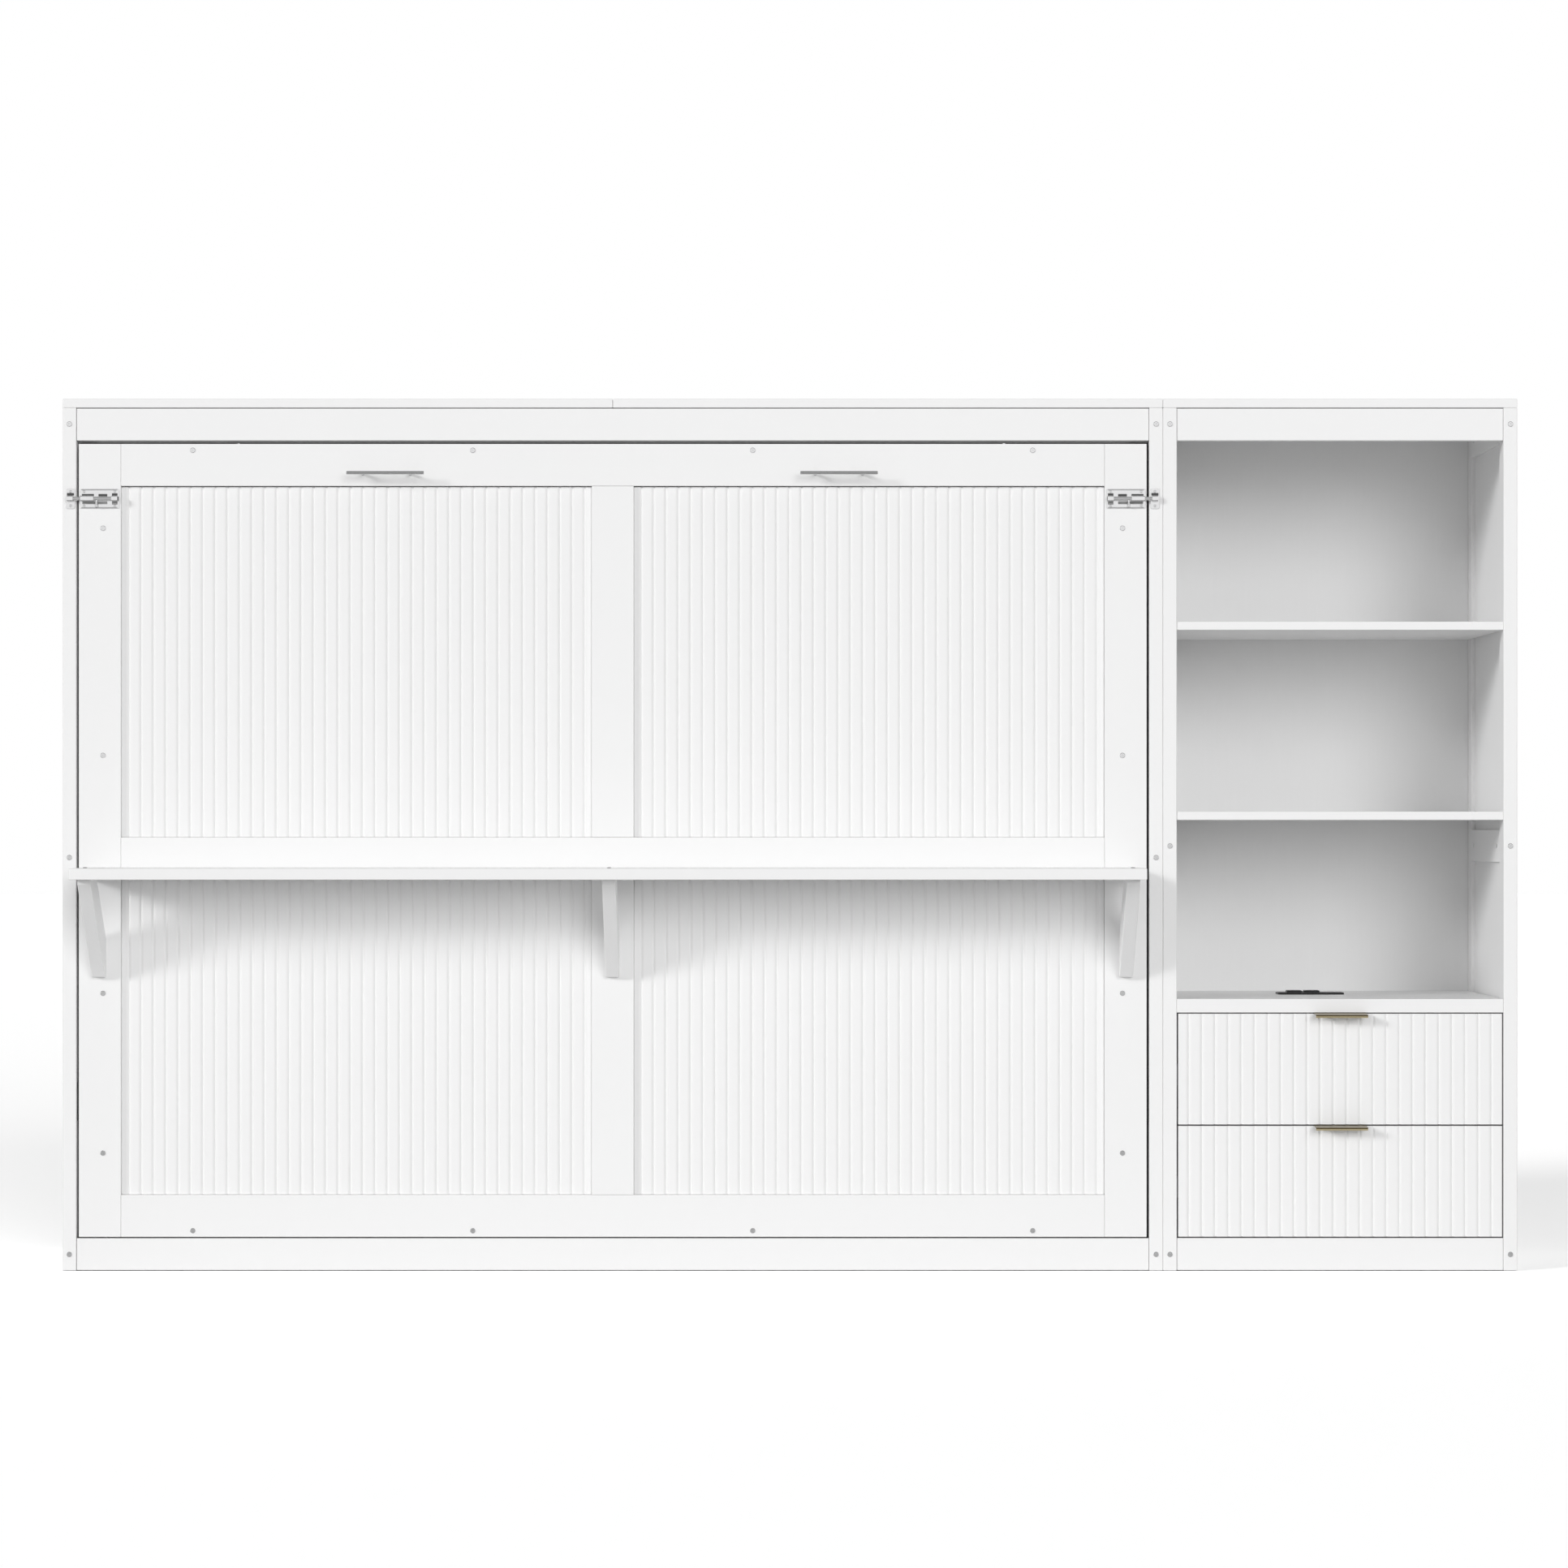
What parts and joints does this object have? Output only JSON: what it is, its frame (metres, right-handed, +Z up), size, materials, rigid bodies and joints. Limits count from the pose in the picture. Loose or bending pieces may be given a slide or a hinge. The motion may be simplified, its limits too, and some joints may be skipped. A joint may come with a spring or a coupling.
{
  "type": "horizontal wall bed with side bookcase",
  "caption": "White sideways wall bed folding down from a cabinet with fluted door panels, front shelf that becomes the foot, and a side bookcase with shelves, drawers and a power outlet.",
  "frame": {"origin": "middle of the footprint on the floor, the front shelf included", "axes": "+X to the bookcase at the right seen from the front, +Y towards the wall, +Z up"},
  "size_m": [2.94, 0.741, 1.762],
  "materials": {
    "white_lacquer": "satin white lacquer on board",
    "white_board": "white faced back board",
    "pine": "planed and sanded",
    "black_steel": "black powder coat",
    "bright_steel": "bright plated",
    "zinc_steel": "zinc plated",
    "brass": "brushed brass",
    "bush_plastic": "moulded",
    "black_plastic": "fine texture"
  },
  "bodies": {
    "cabinet": {"bed_back_panels": "white_board", "bed_back_posts": "white_lacquer", "bed_back_rails": "white_lacquer", "bed_bottom_apron": "white_lacquer", "bed_front_posts": "white_lacquer", "bed_side_panels": "white_lacquer", "bed_side_rails": "white_lacquer", "bed_top_apron": "white_lacquer", "bed_top_joist": "white_lacquer", "bed_top_panels": "white_lacquer", "bolt_keepers": "zinc_steel", "bookcase_aprons": "white_lacquer", "bookcase_back_panel": "white_board", "bookcase_back_posts": "white_lacquer", "bookcase_back_rails": "white_lacquer", "bookcase_front_posts": "white_lacquer", "bookcase_shelves": "white_lacquer", "bookcase_side_panels": "white_lacquer", "bookcase_side_rails": "white_lacquer", "bookcase_top_panel": "white_lacquer", "counter": "white_lacquer", "pivot_pins": "bright_steel", "pivot_plates": "black_steel", "power_outlet": "black_plastic", "runner_outer_rails": "zinc_steel", "strut_anchors": "black_steel"},
    "bed": {"door_stiles": "white_lacquer", "door_top_rail": "white_lacquer", "door_middle_rail": "white_lacquer", "door_bottom_rail": "white_lacquer", "door_centre_stiles": "white_lacquer", "door_panels": "white_lacquer", "bed_long_rails": "white_lacquer", "bed_end_rails": "white_lacquer", "slat_cleats": "pine", "bed_slats": "pine", "front_shelf": "white_lacquer", "shelf_brackets": "white_lacquer", "pull_handles": "bright_steel", "bolt_plates": "zinc_steel", "pivot_bushes": "bush_plastic", "strut_brackets": "black_steel"},
    "left_bolt": {"left_bolt_rod": "zinc_steel"},
    "right_bolt": {"right_bolt_rod": "zinc_steel"},
    "strut_cylinders": {"strut_cylinders": "black_steel"},
    "strut_rods": {"strut_rods": "bright_steel"},
    "upper_drawer": {"upper_drawer_front": "white_lacquer", "upper_drawer_box": "white_lacquer", "upper_drawer_pull": "brass", "upper_drawer_runner_inner": "zinc_steel"},
    "lower_drawer": {"lower_drawer_front": "white_lacquer", "lower_drawer_box": "white_lacquer", "lower_drawer_pull": "brass", "lower_drawer_runner_inner": "zinc_steel"},
    "upper_runner_middle": {"upper_drawer_runner_middle": "zinc_steel"},
    "lower_runner_middle": {"lower_drawer_runner_middle": "zinc_steel"}
  },
  "joints": [
    {"name": "bed_fold", "type": "hinge", "parent": "cabinet", "child": "bed", "pos_m": [-0.358, -0.028, 0.3425], "axis": [1, 0, 0], "range_deg": [0, 90]},
    {"name": "left_bolt_slide", "type": "slide", "parent": "bed", "child": "left_bolt", "axis": [1, 0, 0], "range_m": [0, 0.027]},
    {"name": "right_bolt_slide", "type": "slide", "parent": "bed", "child": "right_bolt", "axis": [-1, 0, 0], "range_m": [0, 0.027]},
    {"name": "strut_swing", "type": "hinge", "parent": "cabinet", "child": "strut_cylinders", "pos_m": [-0.358, 0.1795, 0.835], "axis": [1, 0, 0], "range_deg": [0, 12.42]},
    {"name": "strut_stroke", "type": "slide", "parent": "strut_cylinders", "child": "strut_rods", "axis": [0, 0.2517, 0.9678], "range_m": [0, 0.2424]},
    {"name": "upper_drawer_slide", "type": "slide", "parent": "cabinet", "child": "upper_drawer", "axis": [0, -1, 0], "range_m": [0, 0.36]},
    {"name": "lower_drawer_slide", "type": "slide", "parent": "cabinet", "child": "lower_drawer", "axis": [0, -1, 0], "range_m": [0, 0.36]},
    {"name": "upper_runner_slide", "type": "slide", "parent": "cabinet", "child": "upper_runner_middle", "axis": [0, -1, 0], "range_m": [0, 0.18]},
    {"name": "lower_runner_slide", "type": "slide", "parent": "cabinet", "child": "lower_runner_middle", "axis": [0, -1, 0], "range_m": [0, 0.18]}
  ],
  "couplings": [
    {"joint": "strut_swing", "follows": "bed_fold", "ratio": 0.1379},
    {"joint": "strut_stroke", "follows": "bed_fold", "m_per_rad": 0.1543},
    {"joint": "upper_runner_slide", "follows": "upper_drawer_slide", "ratio": 0.5},
    {"joint": "lower_runner_slide", "follows": "lower_drawer_slide", "ratio": 0.5}
  ]
}
